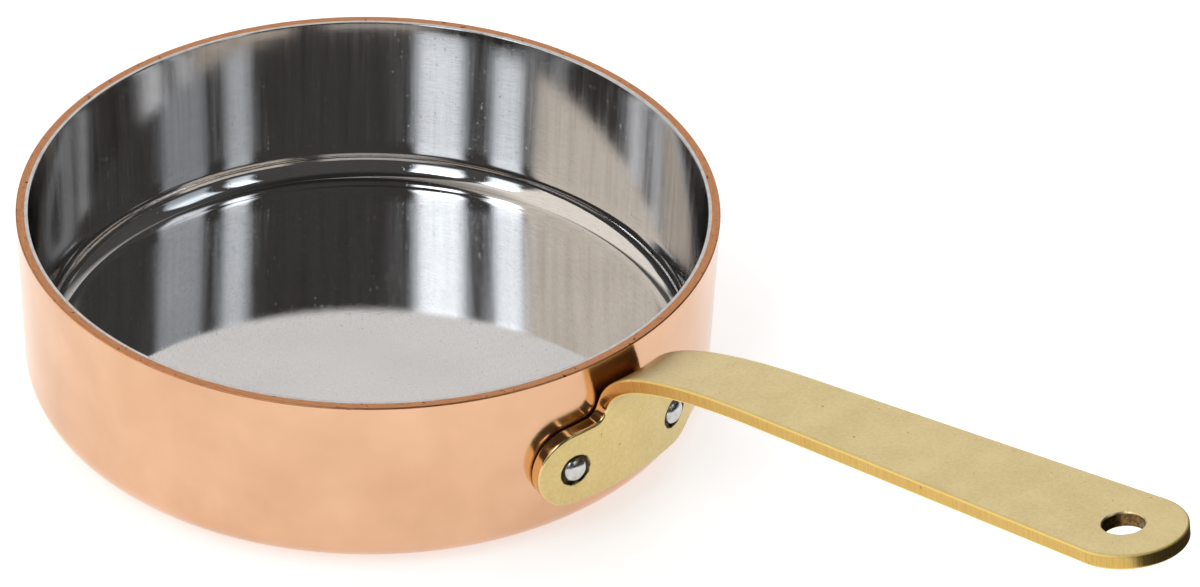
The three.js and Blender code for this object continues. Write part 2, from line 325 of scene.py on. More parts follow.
# %% From an array of points to an object
def surface(name, points, attributes):
    """A mesh object from points[row, column, xyz], where each row is a loop. attributes maps a name to
    values[row, column] or values[row, column, 3]."""
    rows, columns = points.shape[:2]
    index = np.arange(rows * columns).reshape(rows, columns)
    index = np.hstack([index, index[:, :1]])
    faces = np.stack([index[:-1, :-1], index[:-1, 1:], index[1:, 1:], index[1:, :-1]], -1).reshape(-1, 4)
    mesh = bpy.data.meshes.new(name)
    mesh.from_pydata(points.reshape(-1, 3).tolist(), [], faces.tolist())
    for key, values in attributes.items():
        vector = values.ndim == 3
        layer = mesh.attributes.new(key, "FLOAT_VECTOR" if vector else "FLOAT", "POINT")
        layer.data.foreach_set("vector" if vector else "value", values.astype(np.float32).ravel())
    shape = bmesh.new()
    shape.from_mesh(mesh)
    bmesh.ops.remove_doubles(shape, verts=shape.verts, dist=1e-3 * mm)
    bmesh.ops.recalc_face_normals(shape, faces=shape.faces)
    shape.to_mesh(mesh)
    shape.free()
    made = bpy.data.objects.new(name, mesh)
    scene.collection.objects.link(made)
    return made


# %% Smooth shading, arcs and lines
def smooth(piece, sharpest=35):
    """Smooth shading, with a crease kept where two faces meet at more than the angle, in degrees."""
    piece.data.polygons.foreach_set("use_smooth", np.ones(len(piece.data.polygons), bool))
    piece.data.set_sharp_from_angle(angle=math.radians(sharpest))
    piece.data.update()


def arc(centre, radius, start, end, steps):
    """Points (steps, 2) on an arc from start to end, in degrees."""
    angle = np.radians(np.linspace(start, end, steps))
    return np.stack([centre[0] + radius * np.cos(angle), centre[1] + radius * np.sin(angle)], -1)


def line(start, end, steps):
    """Points (steps, 2) on a straight line, without its last point."""
    share = np.linspace(0, 1, steps, endpoint=False)[:, None]
    return np.array(start) * (1 - share) + np.array(end) * share


print("three points of a quarter arc:", arc((0, 0), 1, 0, 90, 3).round(3).tolist())

# %% [markdown]
# ## The pan's profile
# A pan like this starts as a flat disc that is pressed over a round former while it spins. So each shell is
# one profile turned about the upright axis. Every face of the two shells is the same three strokes: a flat
# bottom, a round corner and a wall that opens by a few degrees. The edges at the rim are eased with a small
# arc, because that is what catches the light. The same shape could be carved from cylinders, but a profile
# keeps the wall's thickness exact.

# %% Sizes of the wall
wall_lean = math.radians(2.4)
corner_radius = 8.3 * mm
inner_corner_radius = 5.5 * mm
copper_thickness = 1.75 * mm
bottom_copper_thickness = 3.15 * mm
lining_thickness = 0.8 * mm
lining_gap = 0.01 * mm
wall_thickness = copper_thickness + lining_thickness
rim_ease = 0.35 * mm
lip_ease = 0.28 * mm
round_segments = 384


def wall_radius(height):
    """Radius of the copper's outer face at a height."""
    return rim_radius - (pan_height - height) * math.tan(wall_lean)


def pan_face(depth, bottom, corner):
    """The profile of a face that lies depth inside the wall's outer face and bottom above the ground: points
    (n, 2) of radius and height, from the axis to the foot of the eased rim."""
    rim = rim_radius - depth / math.cos(wall_lean)
    top = pan_height - 1.2 * rim_ease
    centre_height = bottom + corner
    drop = pan_height - centre_height
    centre_radius = rim - (corner + drop * math.sin(wall_lean)) / math.cos(wall_lean)
    corner_arc = arc((centre_radius, centre_height), corner, -90, -math.degrees(wall_lean), 25)
    foot = corner_arc[-1]
    edge = (rim - (pan_height - top) * math.tan(wall_lean), top)
    return np.vstack([line((0, bottom), (centre_radius, bottom), 40), corner_arc[:-1], line(foot, edge, 30)])


print("wall radius at the bottom corner", round(wall_radius(corner_radius) / mm, 2), "mm")


# %% Turning a profile
def turned(name, profile, zones=None):
    """The closed profile (n, 2) of radius and height turned about the upright axis. Point k of row j is at
    angle 2 pi k / segments. The attribute turn holds the angle's cosine and sine and the length along the
    profile in metres, and zone marks a part of the profile."""
    angle = 2 * np.pi * np.arange(round_segments) / round_segments
    radius, height = profile[:, :1], profile[:, 1:]
    points = np.stack([radius * np.cos(angle), radius * np.sin(angle), height + 0 * angle], -1)
    length = np.r_[0, np.cumsum(np.hypot(*np.diff(profile, axis=0).T))][:, None]
    around = np.stack([np.cos(angle) + 0 * length, np.sin(angle) + 0 * length, length + 0 * angle], -1)
    zone = (np.zeros(len(profile)) if zones is None else zones)[:, None] + 0 * angle
    return surface(name, points, {"turn": around, "zone": zone})


print("profiles are turned in", round_segments, "steps")

# %% [markdown]
# ### The copper body
# The copper carries the heat, so it is the thick layer, and it is thicker still in the bottom. Its profile
# runs from the middle of the bottom up the outer face, over the rim, which was cut square, and down the inner
# face again. The rim is marked as a zone of its own, because its finish differs.

# %% The copper body
outside = pan_face(0, 0, corner_radius)
inside = pan_face(copper_thickness, bottom_copper_thickness, inner_corner_radius + lining_thickness)
edge_centre = (rim_radius - rim_ease, pan_height - rim_ease)
outer_edge = arc(edge_centre, rim_ease, -math.degrees(wall_lean), 90, 9)
copper_top = np.linspace(rim_radius - rim_ease, rim_radius - copper_thickness, 12)[1:]
rim_face = np.stack([copper_top, np.full(len(copper_top), pan_height)], -1)
body_profile = np.vstack([outside, outer_edge, rim_face, inside[::-1]])
rim_zone = (body_profile[:, 1] > pan_height - 0.9 * rim_ease).astype(float)
copper_body = turned("copper_shell", body_profile, rim_zone)
smooth(copper_body)
print("copper shell:", len(copper_body.data.polygons), "faces")

# %% [markdown]
# ### The lining
# Bare copper isn't good for sour food, so a thin sheet of bright metal is bonded inside it. It shows as a
# light line round the rim. It could be a second colour on the copper's inner face, but the light line has a
# real edge and step, so it is its own shell, with a hair's gap to the copper that keeps both bodies closed.

# %% The lining
outer_corner = inner_corner_radius + lining_thickness
lining_outside = pan_face(copper_thickness + lining_gap, bottom_copper_thickness + lining_gap, outer_corner)
lining_bottom = bottom_copper_thickness + lining_thickness
lining_inside = pan_face(wall_thickness, lining_bottom, inner_corner_radius)
lip_outer = rim_radius - copper_thickness - lining_gap
lip_inner = rim_radius - wall_thickness
lip = arc((lip_inner + lip_ease, pan_height - lip_ease), lip_ease, 90, 180, 8)
lining_profile = np.vstack([lining_outside, [(lip_outer, pan_height)], lip, lining_inside[::-1]])
lining = turned("bright_lining", lining_profile)
smooth(lining)
print("lining:", len(lining.data.polygons), "faces")

# %% [markdown]
# ## The bar handle
# The handle is one flat bar of brass: a blank is cut out, its lower end is pressed to the curve of the wall,
# and it is bent outwards. The same two steps work here. The blank's outline is drawn flat, as arcs and lines,
# and a bend formula carries each of its points to its place. Rounded edges come from rings that step inwards
# from the outline while they climb round the edge.

# %% Sizes of the bar
bar_thickness = 3.2 * mm
ear_radius = 8.7 * mm
ear_spread = 14.5 * mm
ear_height = pan_height - 21.8 * mm
shoulder_rise = math.radians(5)
neck_fillet = 3 * mm
strap_root_width = 14.6 * mm
strap_end_width = 24 * mm
strap_slope = math.radians(9.2)
strap_lift = 2.9 * mm
bend_rise = 1.2 * mm
bend_reach = 40.2 * mm
hole_x = rim_radius + 131.3 * mm
tip_offset = 0.8 * mm
bar_edge = 0.5 * mm
flange_gap = 0.3 * mm
tip_radius = strap_end_width / 2
print("bar", round(bar_thickness / mm, 1), "mm thick, widest", round(strap_end_width / mm, 1), "mm")


# %% Where the strap and the flange lie
def strap_lower(x):
    """Height of the strap's lower face at a place along the handle."""
    rise = (x - rim_radius) * math.tan(strap_slope)
    return pan_height + strap_lift + rise - bar_thickness / math.cos(strap_slope)


def flange_face(height):
    """Distance of the flange's outer face from the pan's axis at a height."""
    return wall_radius(height) + (flange_gap + bar_thickness) / math.cos(wall_lean)


# %% The flat blank
def blank_half():
    """Half of the flange's outline, as four strokes of points (n, 2) of half width and length from the
    flange's foot: the straight foot, the round ear, the sloping shoulder and the fillet into the neck. The
    neck's length comes first."""
    root = strap_root_width / 2
    sine, cosine = math.sin(shoulder_rise), math.cos(shoulder_rise)
    ear_top = (ear_spread + ear_radius * sine, ear_radius * (1 + cosine))
    fillet_x = root + neck_fillet
    fillet_foot = fillet_x - neck_fillet * sine
    foot_length = ear_top[1] + (ear_top[0] - fillet_foot) * math.tan(shoulder_rise)
    neck = foot_length + neck_fillet * cosine
    rise = math.degrees(shoulder_rise)
    return neck, [
        line((0, 0), (ear_spread, 0), 24),
        arc((ear_spread, ear_radius), ear_radius, -90, 90 - rise, 70)[:-1],
        line(ear_top, (fillet_foot, foot_length), 9),
        arc((fillet_x, neck), neck_fillet, -90 - rise, -180, 16)[:-1],
    ]


neck_length, flange_strokes = blank_half()
print("neck at", round(neck_length / mm, 2), "mm from the flange's foot")

# %% [markdown]
# ### The bar's path
# Seen from the side the bar is a line up the wall, a bend and a straight, rising line. On the real handle the
# bend is made over a round stake, so it has no corner. Here it is a quadratic curve between the two lines,
# and its control point is where the lines would cross, so both ends run on smoothly.

# %% The bar's path: up the wall, round the bend and out
flange_foot = ear_height - ear_radius * math.cos(wall_lean)
bend_foot = flange_foot + (neck_length + bend_rise - neck_fillet) * math.cos(wall_lean)
path_foot = np.array([flange_face(flange_foot), flange_foot])
bend_start = np.array([flange_face(bend_foot), bend_foot])
bend_end = np.array([bend_start[0] + bend_reach, strap_lower(bend_start[0] + bend_reach)])
lean, slope = math.tan(wall_lean), math.tan(strap_slope)
corner_x = (bend_start[0] + lean * (strap_lower(0) - bend_start[1])) / (1 - lean * slope)
bend_corner = np.array([corner_x, strap_lower(corner_x)])
tip_x = hole_x + (tip_offset + tip_radius) * math.cos(strap_slope)
path_tip = np.array([tip_x, strap_lower(tip_x)])

share = np.linspace(0, 1, 2001)[:, None]
bend_points = (1 - share) ** 2 * bend_start + 2 * share * (1 - share) * bend_corner + share**2 * bend_end
bend_lengths = np.r_[0, np.cumsum(np.hypot(*np.diff(bend_points, axis=0).T))]
flange_length = np.hypot(*(bend_start - path_foot))
bend_length = bend_lengths[-1]
strap_length = np.hypot(*(path_tip - bend_end))
bar_length = flange_length + bend_length + strap_length
print("bar length along its lower face", round(bar_length / mm, 1), "mm")


def along(length):
    """Points (n, 2) and directions (n, 2) on the bar's lower face, in the upright middle plane, at lengths
    from the flange's foot: a straight line, a quadratic bend and a straight line."""
    on_bend = np.interp(length - flange_length, bend_lengths, share[:, 0])[:, None]
    bend_at = (
        (1 - on_bend) ** 2 * bend_start + 2 * on_bend * (1 - on_bend) * bend_corner + on_bend**2 * bend_end
    )
    bend_way = (1 - on_bend) * (bend_corner - bend_start) + on_bend * (bend_end - bend_corner)
    bend_way /= np.linalg.norm(bend_way, axis=1)[:, None]
    flange_way = (bend_start - path_foot) / flange_length
    strap_way = (path_tip - bend_end) / strap_length
    before = (length <= flange_length)[:, None]
    after = (length >= flange_length + bend_length)[:, None]
    past = (length - flange_length - bend_length)[:, None]
    at = np.where(before, path_foot + length[:, None] * flange_way, bend_at)
    at = np.where(after, bend_end + past * strap_way, at)
    way = np.where(before, flange_way, np.where(after, strap_way, bend_way))
    return at, way


# %% [markdown]
# ### From the flat blank to the bent bar
# The flange hugs the round wall, and the strap is flat, so the bar's curve across its width has to fade out
# over the bend. A bend modifier could do one of the two, but a formula does both and keeps the thickness.

# %% The bend formula
fade_over = 0.6
least_curve = 0.01


def bent(width, length, depth):
    """Carries points of the flat blank to their place. Across the flange the bar follows a circle of
    curvature 1 / distance from the axis, which fades to flat over the first part of the bend by a smooth
    step, and depth goes from the outer face into the bar."""
    at, way = along(length)
    step = np.clip((length - flange_length) / (fade_over * bend_length), 0, 1)
    fade = step * step * (3 - 2 * step)
    curve = np.maximum(least_curve, (1 - fade) / at[:, 0])
    swing = curve * width
    y = (1 / curve - depth) * np.sin(swing)
    inward = 1 / curve - (1 / curve - depth) * np.cos(swing)
    return np.stack([at[:, 0] - way[:, 1] * inward, y, at[:, 1] + way[:, 0] * inward], -1)


foot_middle = bent(np.zeros(1), np.zeros(1), np.zeros(1))[0]
print("the flange's foot lands at", (foot_middle / mm).round(2).tolist(), "mm")

# %% The whole outline, and the spine that the faces run to
spine_reach = 14 * mm
strap_steps = 190
tip_centre = bar_length - tip_radius
strap_stroke = line((strap_root_width / 2, neck_length), (tip_radius, tip_centre), strap_steps)
tip_stroke = arc((0, tip_centre), tip_radius, 0, 90, 50)
half_outline = np.vstack([*flange_strokes, strap_stroke, tip_stroke])
counts = [len(stroke) for stroke in flange_strokes] + [strap_steps, len(tip_stroke)]

spine_join = neck_length + spine_reach
spine_strokes = [
    np.stack([flange_strokes[0][:, 0], np.full(counts[0], ear_radius)], -1),
    np.tile([ear_spread, ear_radius], (counts[1], 1)),
    line((ear_spread, ear_radius), (0, ear_radius), counts[2] + counts[3]),
]
climb = np.interp(strap_stroke[:, 1], [neck_length, spine_join], [ear_radius, spine_join])
strap_spine = np.where(strap_stroke[:, 1] < spine_join, climb, strap_stroke[:, 1])
spine_strokes.append(np.stack([0 * strap_spine, strap_spine], -1))
spine_strokes.append(np.tile([0, tip_centre], (counts[5], 1)))
half_spine = np.vstack(spine_strokes)


def whole(half):
    """Both halves as one loop: out along the first side and back along its mirror image, which leaves out
    the two end points that the halves share."""
    return np.vstack([half, (half * [-1, 1])[-2:0:-1]])


outline, spine = whole(half_outline), whole(half_spine)
edge_way = np.roll(outline, -1, 0) - np.roll(outline, 1, 0)
edge_way /= np.linalg.norm(edge_way, axis=1)[:, None]
inwards = np.stack([-edge_way[:, 1], edge_way[:, 0]], -1)
print("outline:", len(outline), "points")

# %% Rings round the edge and over both faces
edge_steps, face_steps = 6, 14
quarter = np.radians(np.linspace(0, 90, edge_steps))
edge_inset = bar_edge * (1 - np.cos(quarter))
edge_depth = bar_edge * (1 - np.sin(quarter))
side_depth = np.linspace(bar_edge, bar_thickness - bar_edge, 6)[1:-1]
face_share = np.linspace(1, 0, face_steps, endpoint=False)[:, None, None]
inset_outline = outline + bar_edge * inwards
face_rings = inset_outline * (1 - face_share) + spine * face_share
lower_edge = outline + edge_inset[::-1, None, None] * inwards
side_rings = outline + np.zeros((len(side_depth), 1, 1))
flat = np.concatenate([face_rings, lower_edge, side_rings, lower_edge[::-1], face_rings[::-1]])
on_face, on_far_face = np.zeros(face_steps), np.full(face_steps, bar_thickness)
depths = np.concatenate([on_face, edge_depth[::-1], side_depth, bar_thickness - edge_depth, on_far_face])
rising = np.linspace(0, 1, edge_steps)
side_share = np.concatenate([on_face, rising, np.ones(len(side_depth)), rising[::-1], on_face])
ring_count, outline_count = flat.shape[:2]
print(ring_count, "rings of", outline_count, "points")

# %% The brass bar
width, length = flat[..., 0].ravel(), flat[..., 1].ravel()
depth = np.repeat(depths, outline_count)
bar_points = bent(width, length, depth).reshape(ring_count, outline_count, 3)
blank_place = np.stack([length, width, depth], -1).reshape(ring_count, outline_count, 3)
side_zone = np.repeat(side_share, outline_count).reshape(ring_count, outline_count)
handle = surface("brass_bar", bar_points, {"blank": blank_place, "zone": side_zone})
print("brass bar:", len(handle.data.polygons), "faces")

# %% [markdown]
# ## Rivets and holes
# A rivet starts as a headed pin. The head goes inside the pan, the shank passes through lining, copper and
# flange, and the outer end is hammered into a shallow sink, which leaves a low dome that is never quite
# round. Each rivet is a profile turned about its own axis with a slight waver. The holes, the sinks and the
# hanging hole are cut out of the other pieces, as a drill and a countersink would.

# %% Sizes of the rivets and the holes
shank_radius = 2.4 * mm
dome_radius = 2.75 * mm
dome_height = 1.75 * mm
dome_waver = 0.018
dome_gap = 0.05 * mm
sink_depth = 0.8 * mm
sink_floor_radius = 3.05 * mm
sink_mouth_radius = 3.5 * mm
head_radius = 5.2 * mm
head_height = 1.4 * mm
head_gap = 0.2 * mm
pin_clearance = 0.1 * mm
hanging_hole_radius = 4.1 * mm
hole_chamfer = 0.3 * mm
seat_face = flange_gap + bar_thickness
print("shank", round(2 * shank_radius / mm, 1), "mm, inner head", round(2 * head_radius / mm, 1), "mm across")


# %% The rivets' own frames, and turning a profile in a frame
def rivet_seat(side):
    """The rivet's own frame: its origin on the copper's outer face and its Z axis out of the wall."""
    around = side * ear_spread / flange_face(ear_height)
    on_wall = Matrix.Translation((wall_radius(ear_height), 0, ear_height))
    return Matrix.Rotation(around, 4, "Z") @ on_wall @ Matrix.Rotation(math.pi / 2 + wall_lean, 4, "Y")


def turned_in(name, profile, seat, segments=96, waver=None):
    """A profile (n, 2) of radius and height turned about the Z axis of a frame. waver[row] scales a slow
    change of the radius round the axis."""
    angle = 2 * np.pi * (np.arange(segments) + 0.37) / segments
    swell = np.sin(2 * angle + 0.8) + 0.6 * np.sin(3 * angle + 2.5) + 0.3 * np.sin(7 * angle)
    amount = np.zeros(len(profile)) if waver is None else waver
    radius = profile[:, :1] * (1 + amount[:, None] * swell)
    local = np.stack([radius * np.cos(angle), radius * np.sin(angle), profile[:, 1:] + 0 * angle], -1)
    turn = np.array(seat.to_3x3())
    points = local @ turn.T + np.array(seat.translation)
    return surface(name, points, {"local": local})


print("left rivet seated at", [round(x / mm, 2) for x in rivet_seat(1).translation], "mm")


# %% The two rivets
def rivet_profile():
    """The profile (n, 2), from the inner head's crown, round its edge, along the shank and over the hammered
    dome, and a share per row that is 1 on the dome."""
    head_base = -wall_thickness - head_gap
    crown = head_base - head_height
    head = arc((0, 0), 1, -90, 0, 22) * [head_radius, head_height] + [0, head_base]
    dome_base = seat_face - sink_depth + dome_gap
    t = np.radians(np.linspace(0, 90, 26))
    dome = np.stack([dome_radius * np.cos(t) ** 0.8, dome_base + dome_height * np.sin(t)], -1)
    dome[-1, 0] = 0
    head[0, 0] = 0
    profile = np.vstack([head, [(shank_radius, head_base), (shank_radius, dome_base)], dome])
    on_dome = (profile[:, 1] > dome_base - 2 * dome_gap) * 1.0
    print("rivet from", round(crown / mm, 2), "to", round((dome_base + dome_height) / mm, 2), "mm")
    return profile, on_dome


profile, outer_end = rivet_profile()
rivets = {}
for side, name in ((1, "rivet_left"), (-1, "rivet_right")):
    rivets[name] = turned_in(name + "_hammered", profile, rivet_seat(side), waver=dome_waver * outer_end)
    smooth(rivets[name], 50)
print("rivets:", {name: len(piece.data.polygons) for name, piece in rivets.items()})

# %% [markdown]
# ### Cutting the holes
# The holes could be left out of the fine surfaces, since the rivets hide them, but the sink and the hanging
# hole show, and a hole that is really there shades as one. Each cutter is one closed body, a pin or a pin
# with a cone above it, so that every hole is cut in one go. The pins have an odd count of sides, which keeps
# their edges off the edges of the piece that they cut.


# %% Cutting
def cut(piece, cutter):
    """Takes the cutter's shape out of the piece and removes the cutter."""
    step = piece.modifiers.new("cut", "BOOLEAN")
    step.object = cutter
    step.operation = "DIFFERENCE"
    step.solver = "EXACT"
    graph = bpy.context.evaluated_depsgraph_get()
    graph.update()
    result = bpy.data.meshes.new_from_object(
        piece.evaluated_get(graph), preserve_all_data_layers=True, depsgraph=graph
    )
    piece.modifiers.clear()
    old = piece.data
    piece.data = result
    bpy.data.meshes.remove(old)
    bpy.data.objects.remove(cutter)


# %% The cutters for the rivets
def hole_cutter(seat):
    """A straight pin a hair wider than the shank, through all the layers."""
    radius, over = shank_radius + pin_clearance, 3 * mm
    ends = (-wall_thickness - over, seat_face + over)
    profile = np.array([(0, ends[0]), (radius, ends[0]), (radius, ends[1]), (0, ends[1])])
    return turned_in("pin", profile, seat, 61)


def sunk_hole_cutter(seat):
    """The same pin with a shallow cone above it, for the sink and its soft upper edge. It starts a
    little behind the flange."""
    radius, floor = shank_radius + pin_clearance, seat_face - sink_depth
    pin = np.array([(0, -1 * mm), (radius, -1 * mm), (radius, floor)])
    lead = np.array([(sink_floor_radius - 0.2 * mm, floor), (sink_floor_radius, floor + 0.1 * mm)])
    flare = arc((sink_mouth_radius + 0.2 * mm, seat_face - 0.2 * mm), 0.2 * mm, 190, 100, 8)
    wide, high = sink_mouth_radius + 0.5 * mm, seat_face + 2 * mm
    out = np.array([(wide, seat_face + 0.05 * mm), (wide, high), (0, high)])
    return turned_in("sink", np.vstack([pin, lead, flare, out]), seat, 97)


# %% The cutter for the hanging hole
def hanging_seat():
    """The hanging hole's own frame: its origin half way through the strap and its Z axis square to it."""
    square = Vector((-math.sin(strap_slope), 0, math.cos(strap_slope)))
    middle = Vector((hole_x, 0, strap_lower(hole_x))) + bar_thickness / 2 * square
    return Matrix.Translation(middle) @ Matrix.Rotation(-strap_slope, 4, "Y")


def hanging_hole_cutter():
    """A pin square to the strap that flares at both faces, for the two small chamfers."""
    half = bar_thickness / 2
    radius, over = hanging_hole_radius, 1 * mm
    upper = [(radius, 0), (radius, half - hole_chamfer), (radius + hole_chamfer, half)]
    upper += [(radius + hole_chamfer + 0.3 * over, half + 0.3 * over), (0, half + 0.3 * over)]
    upper = np.array(upper)
    return turned_in("hanging_pin", np.vstack([(upper * [1, -1])[::-1], upper[1:]]), hanging_seat(), 128)


# %% All the holes
cut(handle, hanging_hole_cutter())
for side in (1, -1):
    cut(handle, sunk_hole_cutter(rivet_seat(side)))
    for piece in (copper_body, lining):
        cut(piece, hole_cutter(rivet_seat(side)))
for piece in (copper_body, lining, handle):
    smooth(piece, 30)
print("after cutting:", {o.name: len(o.data.polygons) for o in (copper_body, lining, handle)})

# %% [markdown]
# ## Finishes
# All four finishes are metals, so their colour is the colour of their reflections. What makes them real is
# what breaks those reflections up: turning marks that run round the pan, grinding marks across the bar's
# sides, fine hairlines, cloudy patches where a cloth has rubbed, and small dark specks.


# %% Reading where a point lies
def attribute(tree, name):
    """A piece's own attribute, as its vector and its single value."""
    made = node(tree, "Attribute", attribute_name=name)
    return made.outputs["Vector"], made.outputs["Fac"]


def own_place(tree):
    """A point's place on its piece, in metres."""
    return node(tree, "TexCoord").outputs["Object"]


def apart(tree, vector):
    """The three parts of a vector, by the names X, Y and Z."""
    return node(tree, "SeparateXYZ", {"Vector": vector}).outputs


# %% Clouds and marks
def noise(tree, vector, scale, detail=3.0, roughness=0.5):
    """The value of a noise texture."""
    inputs = {"Vector": vector, "Scale": scale, "Detail": detail, "Roughness": roughness}
    return node(tree, "TexNoise", inputs).outputs["Fac"]


def marks_of(tree, vector, stretch, scale, detail=3.0, roughness=0.5):
    """Noise drawn out into marks: the vector is first scaled by a different amount along each axis, and the
    marks run along the axes with the small amounts."""
    drawn = node(tree, "Mapping", {"Vector": vector, "Scale": stretch}).outputs["Vector"]
    return noise(tree, drawn, scale, detail, roughness)


# %% Joining a metal's parts
def end_metal(tree, shader, colour, rough, height, bump_strength, bump_depth=0.05 * mm):
    """Links colour, roughness and bump height to the shader, and makes it a metal."""
    bump = node(tree, "Bump", {"Strength": bump_strength, "Distance": bump_depth, "Height": height})
    links = {"Base Color": colour, "Roughness": rough, "Normal": bump.outputs["Normal"]}
    for name, value in links.items():
        tree.links.new(value, shader.inputs[name])
    set_shader(shader, Metallic=1.0)


# %% [markdown]
# ### Copper
# The wall is spun and then polished on a wheel, so faint marks run round it and slow cloudy patches lie over
# them. The top of the rim was cut square and only lightly polished: it is darker and redder, with turning
# marks and dark specks of old tarnish.

# %% Copper
copper_shades = [(0.3, (0.685, 0.4, 0.24)), (0.7, (0.775, 0.475, 0.3))]
rim_shades = [(0.3, (0.36, 0.13, 0.05)), (0.5, (0.62, 0.27, 0.12)), (0.75, (0.8, 0.42, 0.22))]
tarnish = (0.08, 0.035, 0.02)


def copper_finish():
    """Clouds choose the wall's shade and turning marks its gloss; streaks choose both on the rim."""
    made, tree, shader = new_material("polished copper")
    turn, _ = attribute(tree, "turn")
    _, rim = attribute(tree, "zone")
    place = own_place(tree)
    clouds = noise(tree, place, 55, 4)
    marks = marks_of(tree, turn, (0.35, 0.35, 900), 4, 3, 0.6)
    fine = marks_of(tree, turn, (1.5, 1.5, 4000), 4, 2, 0.6)
    streaks = marks_of(tree, turn, (6, 6, 2500), 6, 4, 0.65)
    specks = ramp(tree, noise(tree, place, 900, 3, 0.6), [(0.64, 0.0), (0.7, 1.0)])
    rim_colour = mixed(tree, specks, ramp(tree, streaks, rim_shades), tarnish)
    colour = mixed(tree, rim, ramp(tree, clouds, copper_shades), rim_colour)
    wall_rough = maths(tree, "MULTIPLY_ADD", marks, 0.12, 0.1)
    rim_rough = maths(tree, "MULTIPLY_ADD", streaks, 0.3, 0.2)
    rough = between(tree, rim, wall_rough, rim_rough)
    height = maths(tree, "ADD", maths(tree, "MULTIPLY", marks, 0.5), maths(tree, "MULTIPLY", fine, 0.25))
    height = maths(tree, "ADD", height, maths(tree, "MULTIPLY", clouds, 1.2))
    end_metal(tree, shader, colour, rough, height, 0.12)
    return made


copper_metal = copper_finish()
print("copper:", len(copper_metal.node_tree.nodes), "nodes")

# %% [markdown]
# ### Lining
# The lining is polished almost to a mirror. What gives it away is a set of hairlines: most of them run round
# the pan, and a few longer rubbing scratches cross them at a slant. On the wall the polishing wheel ran up
# and down as well, which leaves soft upright streaks and draws each mirror image out, so the gloss is
# anisotropic.

# %% Lining
lining_shades = [(0.3, (0.7, 0.672, 0.652)), (0.7, (0.755, 0.728, 0.71))]
slant = (0.3, 0.2, 0.9)


def lining_colour(tree, place, turn, clouds, wear, on_wall):
    """A bright grey by the clouds, a little darker in the streaks of the wall, in hairs and in specks."""
    hairs = marks_of(tree, turn, (9, 9, 2600), 3, 3, 0.7)
    hair_tone = ramp(tree, hairs, [(0.36, 0.86), (0.56, 1.0)])
    specks = ramp(tree, noise(tree, place, 1300, 2, 0.5), [(0.72, 1.0), (0.76, 0.55)])
    wear_tone = ramp(tree, wear, [(0.35, 0.85), (0.6, 1.0)])
    colour = mixed(tree, on_wall, ramp(tree, clouds, lining_shades), wear_tone, "MULTIPLY")
    colour = mixed(tree, 1.0, colour, hair_tone, "MULTIPLY")
    return mixed(tree, 1.0, colour, specks, "MULTIPLY")


def lining_finish():
    """Almost a mirror on the bottom; streaked, and anisotropic round the upright axis, on the wall."""
    made, tree, shader = new_material("bright lining")
    turn, _ = attribute(tree, "turn")
    place = own_place(tree)
    height_share = maths(tree, "DIVIDE", apart(tree, place)["Z"], pan_height)
    on_wall = ramp(tree, height_share, [(0.2, 0.0), (0.3, 1.0)])
    clouds = noise(tree, place, 45, 4)
    marks = marks_of(tree, turn, (1.2, 1.2, 2200), 5, 4, 0.7)
    wear = marks_of(tree, turn, (26, 26, 14), 1.6, 5, 0.62)
    slanted = node(tree, "Mapping", {"Vector": place, "Rotation": slant}).outputs["Vector"]
    scratches = ramp(tree, marks_of(tree, slanted, (22, 1300, 1300), 1, 2, 0.5), [(0.67, 0.0), (0.71, 1.0)])
    wall_rough = maths(tree, "MULTIPLY_ADD", wear, 0.16, 0.02)
    bottom_rough = maths(tree, "MULTIPLY_ADD", clouds, 0.03, 0.0)
    rough = between(tree, on_wall, bottom_rough, wall_rough)
    rough = maths(tree, "MULTIPLY_ADD", scratches, 0.12, rough)
    height = maths(tree, "MULTIPLY_ADD", scratches, 0.5, maths(tree, "MULTIPLY", marks, 0.6))
    height = maths(tree, "MULTIPLY_ADD", clouds, 1.5, height)
    end_metal(tree, shader, lining_colour(tree, place, turn, clouds, wear, on_wall), rough, height, 0.06)
    tree.links.new(maths(tree, "MULTIPLY", on_wall, 0.7), shader.inputs["Anisotropic"])
    around = node(tree, "Tangent", direction_type="RADIAL", axis="Z")
    tree.links.new(around.outputs["Tangent"], shader.inputs["Tangent"])
    return made


lining_metal = lining_finish()
print("lining:", len(lining_metal.node_tree.nodes), "nodes")

# %% [markdown]
# ### Brass
# The faces of the bar are satin, from a soft wheel, with faint blotches; on the flange they are painted in a
# darker copy of the strap's brass, a painted shade. A painted highlight runs along the strap's rounded edges.
# The sides were ground across on a belt, so short upright marks cover them, and their colour is painted
# deeper, a painted reflection of each mark in its neighbour. The sinks round the rivets are darkened with a
# painted shade, and the wall of the hanging hole is painted dark brown. Both are found by their distance from
# the hole's axis.


# %% Distance from an axis
def from_axis(tree, place, seat):
    """Distance of a place p from the Z axis a of a frame with origin o, in millimetres: the length of
    (p - o) x a. The sign of y is dropped first, so one axis serves both sides of the handle."""
    parts = apart(tree, place)
    y = maths(tree, "ABSOLUTE", parts["Y"])
    folded = node(tree, "CombineXYZ", {"X": parts["X"], "Y": y, "Z": parts["Z"]})
    origin = tuple(seat.translation)
    away = node(tree, "VectorMath", {0: folded.outputs[0], 1: origin}, operation="SUBTRACT").outputs[0]
    axis = tuple(seat.to_3x3() @ Vector((0, 0, 1)))
    crossed = node(tree, "VectorMath", {0: away, 1: axis}, operation="CROSS_PRODUCT").outputs[0]
    length = node(tree, "VectorMath", {0: crossed}, operation="LENGTH").outputs["Value"]
    return maths(tree, "DIVIDE", length, mm)


